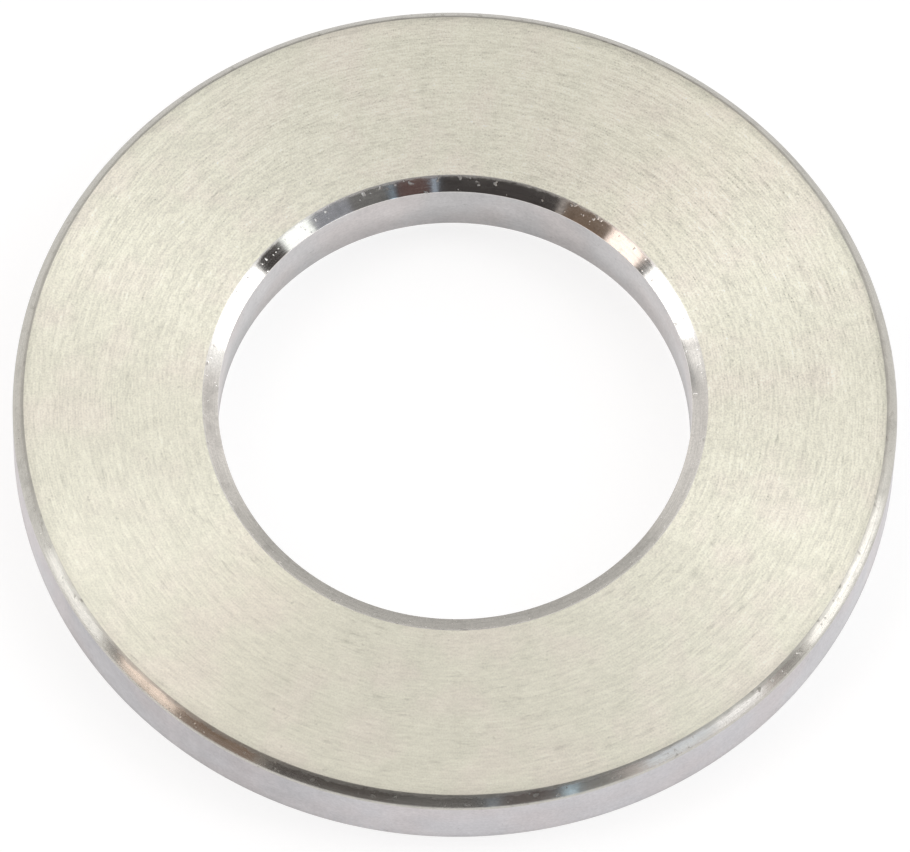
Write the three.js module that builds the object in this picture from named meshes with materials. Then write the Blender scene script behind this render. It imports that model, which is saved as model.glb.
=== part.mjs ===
// Flat washer for an M14 bolt, turned from aluminium bar and bevelled on its upper face.
// Units are millimetres. +Z is up, along the washer's axis of symmetry.
// The origin is the centre of the lower face, the face that rests on the work.
import * as THREE from "three";

// Driving dimensions
const OUTER_DIAMETER = 28;
const BORE_DIAMETER = 15;
const THICKNESS = 2.5;

// The bevels of the upper face: how far each one runs in along the face, and how deep it cuts.
// The bevel around the bore is a shallow lead-in that clears the fillet under a bolt's head.
const RIM_BEVEL = { width: 0.32, depth: 0.32 };
const BORE_BEVEL = { width: 0.5, depth: 0.22 };

// The lower face only has its sharp edges taken off.
const EDGE_BREAK = 0.05;

// Flats around the circle. A multiple of four puts corners exactly on the X and Y axes.
const SEGMENTS = 180;

const BARE_ALUMINIUM = { color: 0xd9d6c8, metalness: 1.0, roughness: 0.38 };

// The cross-section of the ring, as radius and height, going round it once from the lower face
// up the rim, across the upper face and down the bore. It ends on the point that it starts from.
function ringSection() {
  const rim = OUTER_DIAMETER / 2;
  const bore = BORE_DIAMETER / 2;
  const start = new THREE.Vector2(bore + EDGE_BREAK, 0);
  return [
    start,
    new THREE.Vector2(rim - EDGE_BREAK, 0),
    new THREE.Vector2(rim, EDGE_BREAK),
    new THREE.Vector2(rim, THICKNESS - RIM_BEVEL.depth),
    new THREE.Vector2(rim - RIM_BEVEL.width, THICKNESS),
    new THREE.Vector2(bore + BORE_BEVEL.width, THICKNESS),
    new THREE.Vector2(bore, THICKNESS - BORE_BEVEL.depth),
    new THREE.Vector2(bore, EDGE_BREAK),
    start,
  ];
}

// Turns the section about the washer's axis. A lathe works about Y, so the ring is stood on Z.
function washerRing() {
  const geometry = new THREE.LatheGeometry(ringSection(), SEGMENTS);
  geometry.rotateX(Math.PI / 2);
  const ring = new THREE.Mesh(geometry, new THREE.MeshStandardMaterial(BARE_ALUMINIUM));
  ring.name = "washer_ring";
  return ring;
}

const washer = new THREE.Group();
washer.add(washerRing());

export default washer;
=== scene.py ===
"""Looks of a turned flat washer: its fine mesh, its three metal finishes and its studio.

All lengths are in metres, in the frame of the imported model: +Z is up, along the washer's axis,
and the origin is the centre of the lower face.
"""

from __future__ import annotations

import logging
import math
from dataclasses import dataclass, field
from enum import Enum
from typing import Any, Callable, Iterable

import bmesh
import bpy
from mathutils import Matrix, Vector

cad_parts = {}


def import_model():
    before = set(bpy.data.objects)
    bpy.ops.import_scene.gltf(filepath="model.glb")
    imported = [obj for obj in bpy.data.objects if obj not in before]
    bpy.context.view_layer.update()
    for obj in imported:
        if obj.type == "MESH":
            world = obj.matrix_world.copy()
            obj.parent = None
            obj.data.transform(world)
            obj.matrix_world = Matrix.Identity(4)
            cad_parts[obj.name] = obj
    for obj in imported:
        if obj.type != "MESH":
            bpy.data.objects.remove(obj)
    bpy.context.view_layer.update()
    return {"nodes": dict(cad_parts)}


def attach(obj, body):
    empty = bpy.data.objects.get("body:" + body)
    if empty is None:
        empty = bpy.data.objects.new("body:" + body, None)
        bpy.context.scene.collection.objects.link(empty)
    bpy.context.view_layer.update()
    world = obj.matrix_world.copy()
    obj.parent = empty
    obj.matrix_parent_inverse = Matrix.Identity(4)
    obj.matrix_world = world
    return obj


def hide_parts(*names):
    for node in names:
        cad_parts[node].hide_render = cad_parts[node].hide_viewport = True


LOG = logging.getLogger("washer")

MM = 0.001
QUARTER_TURN = 0.25

Colour = tuple[float, float, float]


# ---------------------------------------------------------------------------------------------
# Shader nodes as Python expressions
# ---------------------------------------------------------------------------------------------


class Socket:
    """An output of a node that can be used in an expression; each operator adds a Math node."""

    def __init__(self, board: "Board", link: bpy.types.NodeSocket) -> None:
        """Wraps an output.

        Args:
            board: the node tree that the output is in.
            link: the output itself.
        """
        self.board = board
        self.link = link

    def maths(self, operation: str, *others: "Socket | float") -> "Socket":
        """Adds one Math node that works on this value first.

        Args:
            operation: the Math node's operation.
            others: the values after this one.

        Returns:
            The result.
        """
        return self.board.maths(operation, self, *others)

    def __add__(self, other: "Socket | float") -> "Socket":
        """self + other."""
        return self.maths("ADD", other)

    def __radd__(self, other: float) -> "Socket":
        """other + self."""
        return self.maths("ADD", other)

    def __sub__(self, other: "Socket | float") -> "Socket":
        """self - other."""
        return self.maths("SUBTRACT", other)

    def __rsub__(self, other: float) -> "Socket":
        """other - self."""
        return self.board.maths("SUBTRACT", other, self)

    def __mul__(self, other: "Socket | float") -> "Socket":
        """self * other."""
        return self.maths("MULTIPLY", other)

    def __rmul__(self, other: float) -> "Socket":
        """other * self."""
        return self.maths("MULTIPLY", other)

    def __truediv__(self, other: "Socket | float") -> "Socket":
        """self / other."""
        return self.maths("DIVIDE", other)

    def __rtruediv__(self, other: float) -> "Socket":
        """other / self."""
        return self.board.maths("DIVIDE", other, self)

    def __pow__(self, other: "Socket | float") -> "Socket":
        """self to the power of other."""
        return self.maths("POWER", other)

    def __abs__(self) -> "Socket":
        """The size of self, without its sign."""
        return self.maths("ABSOLUTE")

    def rising(self, low: float, high: float) -> "Socket":
        """A smooth step from 0 at low to 1 at high.

        Args:
            low: where the step starts.
            high: where it ends.

        Returns:
            The step.
        """
        settings = {"interpolation_type": "SMOOTHSTEP"}
        values = {"Value": self, "From Min": low, "From Max": high}
        return self.board.add("ShaderNodeMapRange", settings, values)

    def falling(self, low: float, high: float) -> "Socket":
        """A smooth step from 1 at low to 0 at high."""
        return 1.0 - self.rising(low, high)

    def within(self, low: float, high: float, soft: float) -> "Socket":
        """1 between low and high and 0 outside them, over an edge of the given softness.

        Args:
            low: the middle of the lower edge.
            high: the middle of the upper edge.
            soft: half the width of each edge.

        Returns:
            The mask.
        """
        return self.rising(low - soft, low + soft) * self.falling(high - soft, high + soft)


class Board:
    """A node tree that is built from Python."""

    def __init__(self, tree: bpy.types.NodeTree) -> None:
        """Takes over a tree and empties it."""
        self.tree = tree
        tree.nodes.clear()

    def node(
        self,
        kind: str,
        settings: dict[str, Any] | None = None,
        values: dict[str | int, Any] | None = None,
    ) -> bpy.types.Node:
        """Adds a node of any type.

        Args:
            kind: the node's type.
            settings: its properties, which are set first.
            values: its inputs by name or number, each a Socket to link or a plain value.

        Returns:
            The node.
        """
        made = self.tree.nodes.new(kind)
        for name, value in (settings or {}).items():
            setattr(made, name, value)
        for name, value in (values or {}).items():
            entry = made.inputs[name]
            if isinstance(value, Socket):
                self.tree.links.new(value.link, entry)
            elif entry.type == "RGBA":
                entry.default_value = (*value, 1.0)
            else:
                entry.default_value = value
        return made

    def add(
        self,
        kind: str,
        settings: dict[str, Any] | None = None,
        values: dict[str | int, Any] | None = None,
        output: str | int = 0,
    ) -> Socket:
        """Adds a node of any type and takes one of its outputs.

        Args:
            kind: the node's type.
            settings: its properties, which are set first.
            values: its inputs by name or number, each a Socket to link or a plain value.
            output: the name or number of the output.

        Returns:
            That output.
        """
        return Socket(self, self.node(kind, settings, values).outputs[output])

    def maths(self, operation: str, *terms: Socket | float) -> Socket:
        """Adds a Math node.

        Args:
            operation: its operation.
            terms: its inputs in order.

        Returns:
            The result.
        """
        return self.add("ShaderNodeMath", {"operation": operation}, dict(enumerate(terms)))

    def vector(self, x: Socket | float, y: Socket | float, z: Socket | float) -> Socket:
        """Joins three numbers into a vector."""
        return self.add("ShaderNodeCombineXYZ", values={"X": x, "Y": y, "Z": z})

    def parts(self, vector: Socket) -> tuple[Socket, Socket, Socket]:
        """Splits a vector.

        Args:
            vector: the vector.

        Returns:
            Its X, Y and Z.
        """
        split = self.node("ShaderNodeSeparateXYZ", values={"Vector": vector})
        x, y, z = (Socket(self, output) for output in split.outputs)
        return x, y, z

    def blend(
        self, factor: Socket | float, a: Socket | Colour, b: Socket | Colour, way: str = "MIX"
    ) -> Socket:
        """Mixes two colours.

        Args:
            factor: 0 for a, 1 for b.
            a: the first colour.
            b: the second colour.
            way: the Mix node's blend type.

        Returns:
            The colour.
        """
        settings = {"data_type": "RGBA", "blend_type": way}
        factor_input, a_input, b_input, colour_output = 0, 6, 7, 2
        values = {factor_input: factor, a_input: a, b_input: b}
        return self.add("ShaderNodeMix", settings, values, colour_output)

    def shaded(self, colour: Socket | Colour, value: Socket) -> Socket:
        """Multiplies a colour by a number.

        Args:
            colour: the colour.
            value: the number.

        Returns:
            The lighter or darker colour.
        """
        return self.blend(1.0, colour, self.vector(value, value, value), "MULTIPLY")

    def grain(self, where: Socket, scale: float, detail: float = 2.0, rough: float = 0.5) -> Socket:
        """Fractal noise between 0 and 1, centred on 0.5.

        Args:
            where: the coordinate that it reads.
            scale: its spatial frequency.
            detail: how many finer octaves it has.
            rough: how strong the finer octaves are.

        Returns:
            The noise value.
        """
        values = {"Vector": where, "Scale": scale, "Detail": detail, "Roughness": rough}
        return self.add("ShaderNodeTexNoise", {"noise_dimensions": "3D"}, values)

    def bump(self, height: Socket, strength: float, distance: float) -> Socket:
        """Turns a height into a normal.

        Args:
            height: the height over the surface.
            strength: how much of the bump shows, from 0 to 1.
            distance: the depth that a height of 1 stands for, in metres.

        Returns:
            The normal.
        """
        values = {"Height": height, "Strength": strength, "Distance": distance}
        return self.add("ShaderNodeBump", values=values)


@dataclass(frozen=True)
class RingPlace:
    """Where a point of the washer is, in millimetres and in polar form, as shader values."""

    position: Socket
    radius: Socket
    height: Socket
    east: Socket
    north: Socket

    @classmethod
    def on(cls, board: Board) -> "RingPlace":
        """Reads the piece's own Object coordinates.

        Args:
            board: the material's node tree.

        Returns:
            The place.
        """
        metres = board.add("ShaderNodeTexCoord", output="Object")
        scale = {"operation": "SCALE"}
        position = board.add("ShaderNodeVectorMath", scale, {0: metres, "Scale": 1.0 / MM})
        x, y, z = board.parts(position)
        radius = (x * x + y * y) ** 0.5
        return cls(position, radius, z, x / radius, y / radius)

    def around(self, across: Socket, fine: float, long: float) -> Socket:
        """A coordinate for marks that run round the washer.

        Args:
            across: the coordinate that crosses the marks.
            fine: how many marks there are per millimetre across.
            long: how often the marks change on their way round.

        Returns:
            The coordinate, which has no seam.
        """
        return across.board.vector(across * fine, self.east * long, self.north * long)


# ---------------------------------------------------------------------------------------------
# Finishes
# ---------------------------------------------------------------------------------------------


@dataclass(frozen=True)
class MetalFinish:
    """What every bare metal surface of the washer has in common.

    Fields:
        name: the material's name.
        tint: the reflectance of the metal.
        shine: its roughness.
        grooving: how strongly the tool marks stretch its highlights, from 0 to 1.
    """

    name: str
    tint: Colour
    shine: float
    grooving: float

    def material(self) -> bpy.types.Material:
        """Builds the material.

        Returns:
            A new material with its nodes in place.
        """
        made = bpy.data.materials.new(self.name)
        made.use_nodes = True
        board = Board(made.node_tree)
        place = RingPlace.on(board)
        values = {
            "Metallic": self.metallic(board, place),
            "Anisotropic": self.grooving,
            "Anisotropic Rotation": QUARTER_TURN,
            "Base Color": self.colour(board, place),
            "Roughness": self.roughness(board, place),
            "Normal": self.relief(board, place),
        }
        shader = board.add("ShaderNodeBsdfPrincipled", values=values)
        board.node("ShaderNodeOutputMaterial", values={"Surface": shader})
        return made

    def metallic(self, board: Board, place: RingPlace) -> Socket | float:
        """Bare metal, unless a finish says otherwise."""
        return 1.0

    def colour(self, board: Board, place: RingPlace) -> Socket:
        """The reflectance over the surface."""
        raise NotImplementedError

    def roughness(self, board: Board, place: RingPlace) -> Socket:
        """The roughness over the surface."""
        raise NotImplementedError

    def relief(self, board: Board, place: RingPlace) -> Socket:
        """The normal over the surface."""
        raise NotImplementedError


@dataclass(frozen=True)
class TurnedFace(MetalFinish):
    """A flat face with the broken concentric marks of the facing tool, matt and slightly warm.

    Fields:
        rim: the outside radius of the upper face, in millimetres.
        blush: the tint of its pinker clouds, beside the metal's own tint.
        moss: the tint of its greener clouds.
        matt: how much of it is scattered light, from 0 to 1.
        pitch: the distance between tool marks, in millimetres.
    """

    rim: float
    blush: Colour = (1.014, 0.992, 0.998)
    moss: Colour = (0.991, 1.001, 0.982)
    matt: float = 0.20
    pitch: float = 0.085

    def metallic(self, board: Board, place: RingPlace) -> Socket | float:
        """Metal with a little scattered light from its torn surface."""
        return 1.0 - self.matt

    def marks(self, board: Board, place: RingPlace) -> Socket:
        """The tool marks: short ones, long ones, the even feed of the tool, and torn grain.

        Args:
            board: the material's node tree.
            place: where on the washer the shaded point is.

        Returns:
            Their height, from about 0 to 1, with 0.5 in the middle.
        """
        short = board.grain(place.around(place.radius, 1.1 / self.pitch, 38.0), 1.0, 1.0)
        long = board.grain(place.around(place.radius, 0.9 / self.pitch, 6.0), 1.0, 1.0)
        grain = board.grain(place.position, 16.0, 1.5, 0.6)
        drift = board.grain(place.around(place.radius, 0.7, 3.0), 1.0, 1.0) * 9.0
        feed = (place.radius * (math.tau / self.pitch) + drift).maths("SINE")
        patchy = board.grain(place.position, 0.5, 2.0).rising(0.40, 0.66)
        raised = (short - 0.5) * 0.36 + (long - 0.5) * 0.26 + (grain - 0.5) * 0.54
        raised = raised + feed * patchy * 0.028
        return raised * (1.0 + place.north * 0.30 + place.east * 0.12) + 0.5

    def dirt(self, board: Board, place: RingPlace) -> Socket:
        """Where scratches, specks and the soiled border darken the face.

        Args:
            board: the material's node tree.
            place: where on the washer the shaded point is.

        Returns:
            The dirt, from 0 to 1.
        """
        scratches = board.grain(place.around(place.radius, 6.5, 13.0), 1.0, 2.0, 0.6)
        patchy = board.grain(place.position, 0.8, 2.0).rising(0.42, 0.62)
        specks = board.grain(place.position, 2.6, 2.0, 0.7)
        edge = (place.radius + (specks - 0.5) * 0.22).rising(self.rim - 0.42, self.rim + 0.04)
        edge = edge * (0.36 + (place.north * 0.8 + place.east * 0.6).maths("MAXIMUM", 0.0) * 0.32)
        lines = scratches.rising(0.56, 0.74) * (0.20 + 0.80 * patchy)
        spots = specks.rising(0.67, 0.80) * 0.8
        return (lines * 0.6 + spots + edge).maths("MINIMUM", 1.0)

    def colour(self, board: Board, place: RingPlace) -> Socket:
        """The warm metal in clouds of pink and green, with its marks, grain and dirt.

        Args:
            board: the material's node tree.
            place: where on the washer the shaded point is.

        Returns:
            The base colour.
        """
        pink = board.grain(place.position, 0.45, 3.0, 0.6).rising(0.42, 0.66)
        green = board.grain(place.around(place.height + 40.0, 1.0, 7.0), 1.0, 2.0).rising(0.45, 0.65)
        tinted = board.blend(pink, self.moss, self.blush)
        tinted = board.blend(green * 0.5, tinted, self.moss)
        base = board.blend(1.0, self.tint, tinted, "MULTIPLY")
        clouds = board.grain(place.position, 1.3, 4.0, 0.65)
        value = 1.0 + (self.marks(board, place) - 0.5) * 1.10 + (clouds - 0.5) * 0.22
        value = value * (1.0 - self.dirt(board, place) * 0.30)
        return board.shaded(base, value)

    def roughness(self, board: Board, place: RingPlace) -> Socket:
        """Roughness that follows the tool marks a little."""
        return self.shine + (self.marks(board, place) - 0.5) * 0.25

    def relief(self, board: Board, place: RingPlace) -> Socket:
        """The tool marks and the grain as a bump."""
        return board.bump(self.marks(board, place), strength=0.5, distance=0.006 * MM)


@dataclass(frozen=True)
class PolishedBevel(MetalFinish):
    """A bevel cut by a sharp tool: nearly a mirror, with very fine marks that run round it.

    Fields:
        lip: the radius of its upper edge, in millimetres.
        outward: 1 if it rises on its way outwards, and -1 if it sinks.
        nicked: how strongly the upper edge is nicked.
    """

    lip: float
    outward: float
    nicked: float

    def across(self, place: RingPlace) -> Socket:
        """How far up the bevel a point is, counted from any fixed place, in millimetres."""
        return place.height + place.radius * self.outward

    def nicks(self, board: Board, place: RingPlace) -> Socket:
        """Small nicks along the upper edge, and a few pits beyond it.

        Args:
            board: the material's node tree.
            place: where on the washer the shaded point is.

        Returns:
            The nicks, from 0 to 1.
        """
        near = abs(place.radius - self.lip).falling(0.04, 0.26)
        broken = board.grain(place.position, 3.3, 1.0, 0.5).rising(0.66, 0.72)
        pitted = board.grain(place.position, 6.0, 1.0, 0.5).rising(0.70, 0.76)
        return (broken * near + pitted * 0.7).maths("MINIMUM", 1.0) * self.nicked

    def lip_wear(self, board: Board, place: RingPlace) -> Socket:
        """The uneven, duller strip along the upper edge, from 0 to 1."""
        ragged = board.grain(place.around(place.radius, 6.0, 26.0), 1.0, 3.0, 0.6)
        return (abs(place.radius - self.lip) + (ragged - 0.5) * 0.16).falling(0.01, 0.10)

    def colour(self, board: Board, place: RingPlace) -> Socket:
        """The clean metal with faint streaks and a few stains.

        Args:
            board: the material's node tree.
            place: where on the washer the shaded point is.

        Returns:
            The base colour.
        """
        streaks = board.grain(place.around(self.across(place), 22.0, 9.0), 1.0, 2.0)
        stains = board.grain(place.position, 1.6, 3.0, 0.65).rising(0.50, 0.72)
        grain = board.grain(place.position, 15.0, 1.5, 0.6)
        value = 1.0 + (streaks - 0.5) * 0.35 + (grain - 0.5) * 0.30
        value = value * (1.0 - stains * 0.14) * (1.0 - self.lip_wear(board, place) * 0.05)
        return board.shaded(self.tint, value)

    def roughness(self, board: Board, place: RingPlace) -> Socket:
        """Roughness with streaks round the bevel, higher in the nicks and along the lip.

        Args:
            board: the material's node tree.
            place: where on the washer the shaded point is.

        Returns:
            The roughness.
        """
        streaks = board.grain(place.around(self.across(place), 16.0, 7.0), 1.0, 1.0)
        dull = self.nicks(board, place) * 0.40 + self.lip_wear(board, place) * 0.18
        return self.shine + (streaks - 0.5) * 0.10 + dull

    def relief(self, board: Board, place: RingPlace) -> Socket:
        """The fine marks and the nicks as a bump.

        Args:
            board: the material's node tree.
            place: where on the washer the shaded point is.

        Returns:
            The normal.
        """
        fine = board.grain(place.around(self.across(place), 18.0, 5.0), 1.0, 1.0)
        uneven = board.grain(place.position, 2.2, 2.0)
        height = fine * 0.6 + uneven * 0.5 - self.nicks(board, place) * 3.0
        return board.bump(height, strength=0.3, distance=0.004 * MM)


@dataclass(frozen=True)
class SatinWall(MetalFinish):
    """The rim and the bore: satin, faintly lilac and cloudy.

    Fields:
        rose: the tint of its pinker clouds, beside the metal's own tint.
        sky: the tint of its bluer clouds.
        foot: the height below which painted shade darkens it, in millimetres.
        painted_foot_shade: how dark that painted shade is, from 0 to 1.
        smudge: how dark its one large smudge is, from 0 to 1.
        smudge_at: where the smudge is, in degrees from +X towards +Y.
    """

    rose: Colour = (1.012, 0.99, 0.988)
    sky: Colour = (0.985, 0.998, 1.012)
    foot: float = 0.45
    painted_foot_shade: float = 0.12
    smudge: float = 0.17
    smudge_at: float = -128.0

    def colour(self, board: Board, place: RingPlace) -> Socket:
        """The metal in soft pink and blue clouds, turned and grained, with painted shade at its
        foot.

        Args:
            board: the material's node tree.
            place: where on the washer the shaded point is.

        Returns:
            The base colour.
        """
        hue = board.grain(place.position, 0.35, 2.0).rising(0.38, 0.62)
        base = board.blend(1.0, self.tint, board.blend(hue, self.sky, self.rose), "MULTIPLY")
        clouds = board.grain(place.position, 0.8, 3.0, 0.6)
        turned = board.grain(place.around(place.height, 9.0, 9.0), 1.0, 2.0)
        grain = board.grain(place.position, 10.0, 2.0, 0.65)
        specks = board.grain(place.position, 3.4, 2.0, 0.7).rising(0.68, 0.80)
        value = 1.0 + (clouds - 0.5) * 0.22 + (turned - 0.5) * 0.10 + (grain - 0.5) * 0.38
        # painted shade: darker towards the foot, where the wall meets the floor
        foot = (place.height + (clouds - 0.5) * 0.2).falling(0.0, self.foot)
        angle = math.radians(self.smudge_at)
        near = place.east * math.cos(angle) + place.north * math.sin(angle)
        blotches = board.grain(place.position, 1.5, 3.0, 0.65).rising(0.30, 0.62)
        smudge = near.rising(0.86, 0.97) * (0.55 + blotches * 0.45) * self.smudge
        value = value * (1.0 - specks * 0.25) * (1.0 - foot * self.painted_foot_shade) * (1.0 - smudge)
        return board.shaded(base, value)

    def roughness(self, board: Board, place: RingPlace) -> Socket:
        """Roughness with soft clouds."""
        return self.shine + (board.grain(place.position, 2.0, 2.0) - 0.5) * 0.15

    def relief(self, board: Board, place: RingPlace) -> Socket:
        """Very fine marks that run round the wall, and grain, as a bump.

        Args:
            board: the material's node tree.
            place: where on the washer the shaded point is.

        Returns:
            The normal.
        """
        lines = board.grain(place.around(place.height, 12.0, 10.0), 1.0, 2.0)
        height = lines * 0.6 + board.grain(place.position, 11.0, 2.0) * 0.6
        return board.bump(height, strength=0.35, distance=0.004 * MM)


class Surface(Enum):
    """The washer's kinds of surface, in the order of its material slots."""

    FACE = 0
    BORE_BEVEL = 1
    RIM_BEVEL = 2
    RIM_WALL = 3
    BORE_WALL = 4


# ---------------------------------------------------------------------------------------------
# The washer
# ---------------------------------------------------------------------------------------------


class Element(Enum):
    """What is selected in edit mode, by the name that Blender gives it."""

    FACE = "FACE"
    EDGE = "EDGE"


def select(element: Element, wanted: Callable[[Any], bool]) -> int:
    """Selects faces or edges of the mesh in edit mode and nothing else.

    Args:
        element: which of the two.
        wanted: says whether one of them is selected.

    Returns:
        How many are selected.
    """
    bpy.ops.mesh.select_mode(type=element.value)
    bpy.ops.mesh.select_all(action="DESELECT")
    mesh = bpy.context.active_object.data
    shape = bmesh.from_edit_mesh(mesh)
    everything = shape.faces if element is Element.FACE else shape.edges
    chosen = [one for one in everything if wanted(one)]
    for one in chosen:
        one.select_set(True)
    bmesh.update_edit_mesh(mesh)
    return len(chosen)


def distance_out(point: Vector) -> float:
    """How far a point is from the washer's axis."""
    return math.hypot(point.x, point.y)


@dataclass
class WasherRing:
    """The washer itself, one turned ring.

    Fields:
        rim: the outside radius.
        bore: the radius of the hole.
        thickness: the height of the upper face.
        face_outer: the outside radius of the flat upper face.
        face_inner: the inside radius of the flat upper face.
        rim_top: the height of the rim's cylinder.
        bore_top: the height of the bore's cylinder.
        edge_break: the size of the edge breaks below.
        segments: how many flats there are round the circle.
        outer_lip_soft: the rounding between the upper face and the rim bevel.
        rim_lip_soft: the rounding between the rim bevel and the rim.
        inner_lip_soft: the rounding between the upper face and the bore bevel.
        edge_soft: the rounding of every other edge.
    """

    rim: float
    bore: float
    thickness: float
    face_outer: float
    face_inner: float
    rim_top: float
    bore_top: float
    edge_break: float
    segments: int = 768
    outer_lip_soft: float = 0.03 * MM
    rim_lip_soft: float = 0.07 * MM
    inner_lip_soft: float = 0.015 * MM
    edge_soft: float = 0.02 * MM

    @classmethod
    def measured_on(cls, node: bpy.types.Object) -> "WasherRing":
        """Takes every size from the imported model.

        Args:
            node: the washer's CAD node.

        Returns:
            A washer of the same sizes.
        """
        points = [(distance_out(v.co), v.co.z) for v in node.data.vertices]
        near = 0.001 * MM
        rim = max(out for out, _ in points)
        bore = min(out for out, _ in points)
        thickness = max(up for _, up in points)
        upper_face = [out for out, up in points if up > thickness - near]
        rim_heights = [up for out, up in points if out > rim - near]
        bore_heights = [up for out, up in points if out < bore + near]
        return cls(
            rim=rim,
            bore=bore,
            thickness=thickness,
            face_outer=max(upper_face),
            face_inner=min(upper_face),
            rim_top=max(rim_heights),
            bore_top=max(bore_heights),
            edge_break=min(rim_heights),
        )

    def build(self) -> bpy.types.Object:
        """Models the ring from a cylinder: bevels, faces and bore by insets, then rounded edges.

        Returns:
            The finished piece.
        """
        bpy.ops.object.select_all(action="DESELECT")
        body_height = self.rim_top - self.edge_break
        bpy.ops.mesh.primitive_cylinder_add(
            vertices=self.segments,
            radius=self.rim,
            depth=body_height,
            end_fill_type="NGON",
            location=(0.0, 0.0, self.edge_break + body_height / 2),
        )
        ring = bpy.context.active_object
        ring.name = ring.data.name = "washer"
        bpy.ops.object.transform_apply(location=True, rotation=True, scale=True)
        bpy.ops.object.mode_set(mode="EDIT")
        self._turn_upper_side()
        self._turn_lower_side()
        self._open_bore()
        self._round_edges()
        bpy.ops.object.mode_set(mode="OBJECT")
        self._keep_flats_flat(ring)
        return ring

    def _turn_upper_side(self) -> None:
        """Cuts the rim bevel, the flat face and the bore bevel into the top cap."""
        select(Element.FACE, lambda face: face.normal.z > 0.9)
        rise = self.thickness - self.rim_top
        bpy.ops.mesh.inset(thickness=self.rim - self.face_outer, depth=rise)
        bpy.ops.mesh.inset(thickness=self.face_outer - self.face_inner)
        sink = self.thickness - self.bore_top
        bpy.ops.mesh.inset(thickness=self.face_inner - self.bore, depth=-sink)

    def _turn_lower_side(self) -> None:
        """Cuts the edge breaks and the flat face into the bottom cap."""
        select(Element.FACE, lambda face: face.normal.z < -0.9)
        width = self.rim - self.bore - 2 * self.edge_break
        bpy.ops.mesh.inset(thickness=self.edge_break, depth=self.edge_break)
        bpy.ops.mesh.inset(thickness=width)
        bpy.ops.mesh.inset(thickness=self.edge_break, depth=-self.edge_break)

    def _open_bore(self) -> None:
        """Joins the two round faces that are left in the middle by the bore's wall."""
        many_sided = 4
        select(Element.FACE, lambda face: len(face.verts) > many_sided)
        bpy.ops.mesh.bridge_edge_loops()

    def _round_edges(self) -> None:
        """Rounds each turned edge by its own small radius."""
        circles = [
            (self.face_outer, self.thickness, self.outer_lip_soft),
            (self.rim, self.rim_top, self.rim_lip_soft),
            (self.face_inner, self.thickness, self.inner_lip_soft),
            (self.bore, self.bore_top, self.edge_soft),
            (self.rim, self.edge_break, self.edge_soft),
            (self.rim - self.edge_break, 0.0, self.edge_soft),
            (self.bore, self.edge_break, self.edge_soft),
            (self.bore + self.edge_break, 0.0, self.edge_soft),
        ]
        for out, up, size in circles:
            found = select(Element.EDGE, lambda edge: self._lies_on(edge, out, up))
            LOG.info("rounding %d edges at %.2f mm out, %.2f mm up", found, out / MM, up / MM)
            bpy.ops.mesh.bevel(offset=size, segments=3, profile=0.5, affect="EDGES")

    def _lies_on(self, edge: bmesh.types.BMEdge, out: float, up: float) -> bool:
        """Tells whether an edge is part of a circle round the axis.

        Args:
            edge: the edge.
            out: the circle's radius.
            up: its height.

        Returns:
            Whether both ends of the edge are on the circle.
        """
        near = 0.002 * MM
        return all(
            abs(distance_out(v.co) - out) < near and abs(v.co.z - up) < near for v in edge.verts
        )

    def _keep_flats_flat(self, ring: bpy.types.Object) -> None:
        """Shades the ring smooth, with normals that follow its larger faces.

        Args:
            ring: the piece, in object mode.
        """
        sharpest_smooth_edge = math.radians(50.0)
        bpy.ops.object.shade_smooth_by_angle(angle=sharpest_smooth_edge)
        ring.modifiers.new("flats", "WEIGHTED_NORMAL").weight = 100
        bpy.ops.object.modifier_apply(modifier="flats")

    def dress(self, ring: bpy.types.Object) -> None:
        """Gives each face of the ring the finish of its surface.

        Args:
            ring: the finished piece.
        """
        finishes = self._finishes()
        ring.data.materials.clear()
        for surface in Surface:
            ring.data.materials.append(finishes[surface].material())
        for face in ring.data.polygons:
            face.material_index = self._surface_of(face).value

    def _finishes(self) -> dict[Surface, MetalFinish]:
        """Mixes the five finishes for a washer of this size.

        Returns:
            The finish of each kind of surface.
        """
        outer_lip = self.face_outer / MM
        inner_lip = self.face_inner / MM
        return {
            Surface.FACE: TurnedFace(
                "turned_face", tint=(0.893, 0.873, 0.772), shine=0.33, grooving=0.85, rim=outer_lip
            ),
            Surface.BORE_BEVEL: PolishedBevel(
                "bore_bevel",
                tint=(0.86, 0.84, 0.81),
                shine=0.13,
                grooving=1.0,
                lip=inner_lip,
                outward=1.0,
                nicked=1.0,
            ),
            # the same polished metal as the bore bevel, tinted darker: painted shade standing in for
            # darker surroundings mirrored in it
            Surface.RIM_BEVEL: PolishedBevel(
                "rim_bevel_with_painted_shade",
                tint=(0.575, 0.558, 0.515),
                shine=0.21,
                grooving=1.0,
                lip=outer_lip,
                outward=-1.0,
                nicked=0.6,
            ),
            Surface.RIM_WALL: SatinWall(
                "rim_wall", tint=(0.60, 0.58, 0.59), shine=0.38, grooving=0.4
            ),
            Surface.BORE_WALL: SatinWall(
                "bore_wall",
                tint=(0.625, 0.605, 0.60),
                shine=0.38,
                grooving=0.4,
                # a deeper and taller painted shade towards the foot of the bore
                foot=1.6,
                painted_foot_shade=0.28,
                smudge=0.13,
                smudge_at=78.0,
            ),
        }

    def _surface_of(self, face: bpy.types.MeshPolygon) -> Surface:
        """Sorts a face by its slope and its side of the ring.

        Args:
            face: a face of the finished piece.

        Returns:
            The kind of surface that it belongs to.
        """
        level, upright = 0.99, 0.1
        if abs(face.normal.z) > level:
            return Surface.FACE
        outside = distance_out(face.center) > (self.face_outer + self.face_inner) / 2
        if abs(face.normal.z) < upright:
            return Surface.RIM_WALL if outside else Surface.BORE_WALL
        return Surface.RIM_BEVEL if outside else Surface.BORE_BEVEL


# ---------------------------------------------------------------------------------------------
# The studio
# ---------------------------------------------------------------------------------------------


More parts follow.
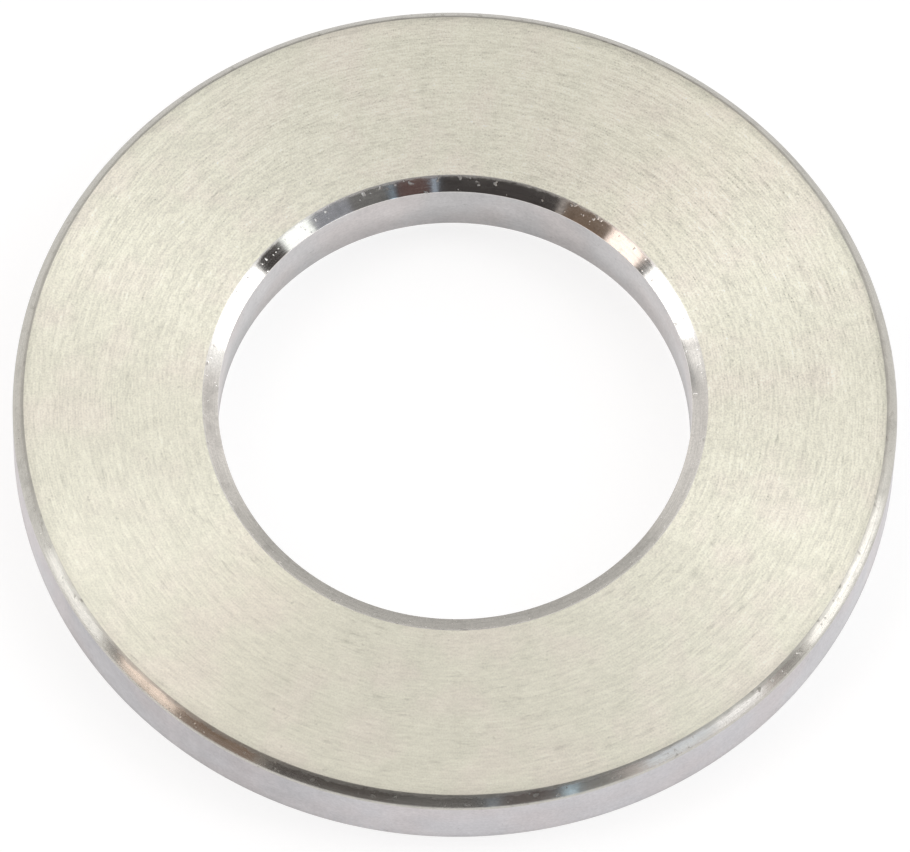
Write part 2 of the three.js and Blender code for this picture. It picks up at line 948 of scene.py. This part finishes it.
@dataclass(frozen=True)
class TentPanel:
    """A panel of the light tent, between two seams that meet at its peak.

    Fields:
        start: its left seam, in degrees to the right of the open front.
        stop: its right seam, in the same degrees.
        light: its colour and strength.
        soft: half the width of each seam's shade, in degrees.
        foot: the height angle below which it fades out, in degrees.
        top: the height angle above which it fades out, in degrees.
        fade: half the height of those two fades, in degrees.
    """

    start: float
    stop: float
    light: Colour
    soft: float = 0.7
    foot: float | None = None
    top: float | None = None
    fade: float = 3.0

    def mask(self, turn: Socket, up: Socket) -> Socket:
        """Where the panel shows.

        Args:
            turn: the direction round the peak, in degrees to the right of the open front.
            up: the height angle, in degrees.

        Returns:
            1 on the panel and 0 off it.
        """
        shown = turn.within(self.start, self.stop, self.soft)
        if self.foot is not None:
            shown = shown * up.rising(self.foot - self.fade, self.foot + self.fade)
        if self.top is not None:
            shown = shown * up.falling(self.top - self.fade, self.top + self.fade)
        return shown


@dataclass
class LightTent:
    """A light tent whose peak leans back, with an open dark front and a softbox at each side.

    Fields:
        peak: how far back of straight up the peak is, as the sine of that angle.
        cap: the light of the cloth at the peak.
        low_cloth: the light of the cloth near the floor, at the back.
        high_cloth: the light of the cloth higher up, at the back.
        low_side: the light of the cloth near the floor, at the sides.
        high_side: the light of the cloth higher up, at the sides.
        cloth_heights: the height angles between which the back gets lighter, in degrees.
        side_heights: the height angles between which the sides get darker, in degrees.
        side_turns: how far round the sides give way to the back, in degrees.
        cap_edge: how far from the peak the cap starts and stops to fade, in degrees.
        panels: what stands in the front and at the sides, in the order of painting.
    """

    peak: float = 0.434
    cap: Colour = (0.92, 0.90, 0.87)
    low_cloth: Colour = (0.45, 0.44, 0.42)
    high_cloth: Colour = (0.80, 0.78, 0.74)
    low_side: Colour = (0.88, 0.86, 0.83)
    high_side: Colour = (0.66, 0.64, 0.62)
    cloth_heights: tuple[float, float] = (18.0, 60.0)
    side_heights: tuple[float, float] = (12.0, 34.0)
    side_turns: tuple[float, float] = (100.0, 135.0)
    cap_edge: tuple[float, float] = (20.0, 33.0)
    panels: tuple[TentPanel, ...] = (
        # the open front, with the dim room behind it
        TentPanel(-50.0, 55.0, (0.046, 0.041, 0.040), 1.0),
        # the left softbox: dark cloth, its soft border, and its high and low lights
        TentPanel(-86.0, -48.0, (0.62, 0.60, 0.58), 4.0, top=20.0),
        TentPanel(-92.0, -74.0, (0.90, 0.87, 0.83), 4.0, top=8.0, fade=2.0),
        TentPanel(-84.0, -48.0, (0.24, 0.24, 0.24), 4.0, foot=20.0, top=38.0),
        TentPanel(-81.0, -60.0, (1.08, 1.06, 1.03), 5.0, foot=36.0),
        TentPanel(-70.0, -51.5, (2.8, 2.8, 2.8), 1.2, foot=36.0),
        TentPanel(-81.0, -62.0, (1.25, 1.25, 1.25), 4.0, foot=4.0, top=13.0, fade=2.0),
        TentPanel(-66.0, -51.5, (3.4, 3.4, 3.4), 1.5, foot=8.5, top=17.0, fade=2.0),
        TentPanel(-50.7, -47.5, (0.17, 0.165, 0.16), 0.8, foot=30.0),
        # a peach-coloured lit wall, and brown wood beside it with a lighter edge
        TentPanel(-47.5, -37.5, (1.50, 1.27, 1.15), 0.8, foot=30.0),
        TentPanel(-47.5, -37.5, (2.40, 2.00, 1.76), 0.8, foot=12.0, top=26.0, fade=2.0),
        TentPanel(-37.0, -25.0, (0.17, 0.125, 0.095), 0.8),
        TentPanel(-37.0, -25.0, (0.28, 0.19, 0.14), 0.8, top=40.0),
        TentPanel(-25.0, -23.4, (0.36, 0.33, 0.31), 0.3),
        # the dark middle of the room, with furniture and two narrow gaps of daylight
        TentPanel(-23.4, -6.0, (0.085, 0.072, 0.068), 1.0, top=45.0),
        TentPanel(-6.0, 5.0, (0.15, 0.145, 0.145), 2.0, top=45.0),
        TentPanel(6.0, 7.4, (0.36, 0.42, 0.50), 0.3),
        TentPanel(8.0, 15.5, (0.105, 0.065, 0.060), 0.6),
        TentPanel(8.0, 15.5, (0.135, 0.115, 0.115), 0.6, top=45.0),
        TentPanel(16.2, 17.8, (0.20, 0.25, 0.30), 0.3),
        TentPanel(16.2, 17.8, (0.90, 1.20, 1.45), 0.3, top=34.0),
        TentPanel(18.2, 27.5, (0.15, 0.148, 0.145), 0.5),
        TentPanel(18.2, 27.5, (0.28, 0.28, 0.28), 0.5, top=34.0),
        # a window with two panes, in a pale wall
        TentPanel(27.5, 38.0, (0.27, 0.28, 0.31), 0.6),
        TentPanel(24.0, 50.0, (0.80, 0.73, 0.72), 3.0, top=34.0),
        TentPanel(27.5, 38.0, (1.95, 2.25, 2.60), 0.8, foot=18.0, top=26.0, fade=2.0),
        TentPanel(38.0, 46.5, (1.30, 1.35, 1.32), 0.8, foot=34.0),
        TentPanel(38.0, 46.5, (3.10, 3.20, 3.40), 0.8, foot=15.0, top=23.0, fade=2.0),
        # the right softbox, with its soft border
        TentPanel(62.0, 83.0, (1.10, 1.10, 1.08), 5.0, foot=30.0),
        TentPanel(55.5, 77.0, (2.8, 2.8, 2.8), 1.2, foot=30.0),
        TentPanel(52.0, 90.0, (0.80, 0.78, 0.76), 4.0, top=30.0),
        TentPanel(62.0, 86.0, (1.30, 1.30, 1.28), 4.0, foot=2.0, top=16.0, fade=2.0),
        TentPanel(55.5, 78.0, (3.1, 3.1, 3.1), 1.2, foot=6.0, top=18.0, fade=2.0),
    )

    def build(self) -> None:
        """Makes the tent the scene's world."""
        world = bpy.data.worlds.new("light_tent")
        world.use_nodes = True
        board = Board(world.node_tree)
        looking = board.add("ShaderNodeTexCoord", output="Generated")
        x, y, z = board.parts(looking)
        to_degrees = math.degrees(1.0)
        turn = board.maths("ARCTAN2", x, self.peak - y) * to_degrees
        up = z.maths("ARCSINE") * to_degrees
        cloth = board.blend(up.rising(*self.cloth_heights), self.low_cloth, self.high_cloth)
        side = board.blend(up.rising(*self.side_heights), self.low_side, self.high_side)
        colour = board.blend(abs(turn).falling(*self.side_turns), cloth, side)
        for panel in self.panels:
            colour = board.blend(panel.mask(turn, up), colour, panel.light)
        height = math.sqrt(1.0 - self.peak**2)
        towards_peak = y * self.peak + z * height
        full_cap, no_cap = (math.cos(math.radians(angle)) for angle in self.cap_edge)
        cap = towards_peak.rising(no_cap, full_cap)
        colour = board.blend(cap, colour, self.cap)
        shader = board.add("ShaderNodeBackground", values={"Color": colour, "Strength": 1.0})
        board.node("ShaderNodeOutputWorld", values={"Surface": shader})
        bpy.context.scene.world = world
        LOG.info("light_tent: %d panels", len(self.panels))


@dataclass
class PaleFloor:
    """The plain floor that the washer lies on.

    Fields:
        half_width: half the side of the floor.
        colour: its reflectance.
        glow: the light that comes through it from below.
    """

    half_width: float = 3.0
    colour: Colour = (0.34, 0.34, 0.343)
    glow: float = 0.78

    def build(self) -> bpy.types.Object:
        """Lays the floor just under the washer.

        Returns:
            The floor.
        """
        bpy.ops.object.select_all(action="DESELECT")
        gap = 0.005 * MM
        bpy.ops.mesh.primitive_plane_add(size=2 * self.half_width, location=(0.0, 0.0, -gap))
        floor = bpy.context.active_object
        floor.name = "floor"
        made = bpy.data.materials.new("pale_floor")
        made.use_nodes = True
        board = Board(made.node_tree)
        values = {
            "Base Color": self.colour,
            "Roughness": 0.9,
            "Specular IOR Level": 0.0,
            "Emission Color": (1.0, 1.0, 1.0),
            "Emission Strength": self.glow,
        }
        shader = board.add("ShaderNodeBsdfPrincipled", values=values)
        board.node("ShaderNodeOutputMaterial", values={"Surface": shader})
        floor.data.materials.append(made)
        LOG.info("%s: %.1f m wide", floor.name, 2 * self.half_width)
        return floor


@dataclass
class StudioCamera:
    """A long lens that looks down on the washer.

    Fields:
        elevation: its height above the horizon, in degrees.
        roll: how far it leans to the side, in degrees.
        distance: how far it stands from what it looks at.
        lens: its focal length, in millimetres.
        aside: how far to the right of the origin it aims, across its own view.
        above: how far above the origin it aims, across its own view.
    """

    elevation: float = 64.3
    roll: float = 2.03
    distance: float = 0.434
    lens: float = 540.2
    aside: float = 0.029 * MM
    above: float = 0.284 * MM

    def build(self) -> None:
        """Makes the camera and sets it as the scene's."""
        tilt = math.radians(self.elevation)
        back = Vector((0.0, -math.cos(tilt), math.sin(tilt)))
        facing = (-back).to_track_quat("-Z", "Y").to_matrix().to_4x4()
        turned = facing @ Matrix.Rotation(math.radians(self.roll), 4, "Z")
        data = bpy.data.cameras.new("studio_camera")
        data.lens = self.lens
        data.clip_start = 0.01
        data.clip_end = 20.0
        camera = bpy.data.objects.new("studio_camera", data)
        stand = turned @ Vector((self.aside, self.above, self.distance))
        camera.matrix_world = Matrix.Translation(stand) @ turned
        bpy.context.scene.collection.objects.link(camera)
        bpy.context.scene.camera = camera
        LOG.info("%s: %.1f degrees up, %.0f mm lens", camera.name, self.elevation, self.lens)


@dataclass
class Studio:
    """Everything round the washer.

    Fields:
        camera: what looks at it.
        floor: what it lies on.
        tent: what lights it.
    """

    camera: StudioCamera = field(default_factory=StudioCamera)
    floor: PaleFloor = field(default_factory=PaleFloor)
    tent: LightTent = field(default_factory=LightTent)

    def build(self) -> None:
        """Sets up the camera, the floor and the light."""
        self.camera.build()
        self.floor.build()
        self.tent.build()
        bpy.context.scene.view_settings.view_transform = "Standard"


# ---------------------------------------------------------------------------------------------
# Building it all
# ---------------------------------------------------------------------------------------------


def main() -> None:
    """Builds the studio and the washer."""
    logging.basicConfig(level=logging.INFO, format="%(message)s")
    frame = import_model()

    Studio().build()
    washer = WasherRing.measured_on(frame["nodes"]["washer_ring"])
    ring = washer.build()
    washer.dress(ring)
    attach(ring, "root")
    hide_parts("washer_ring")
    LOG.info("%s: %d faces", ring.name, len(ring.data.polygons))


if __name__ == "__main__":
    main()
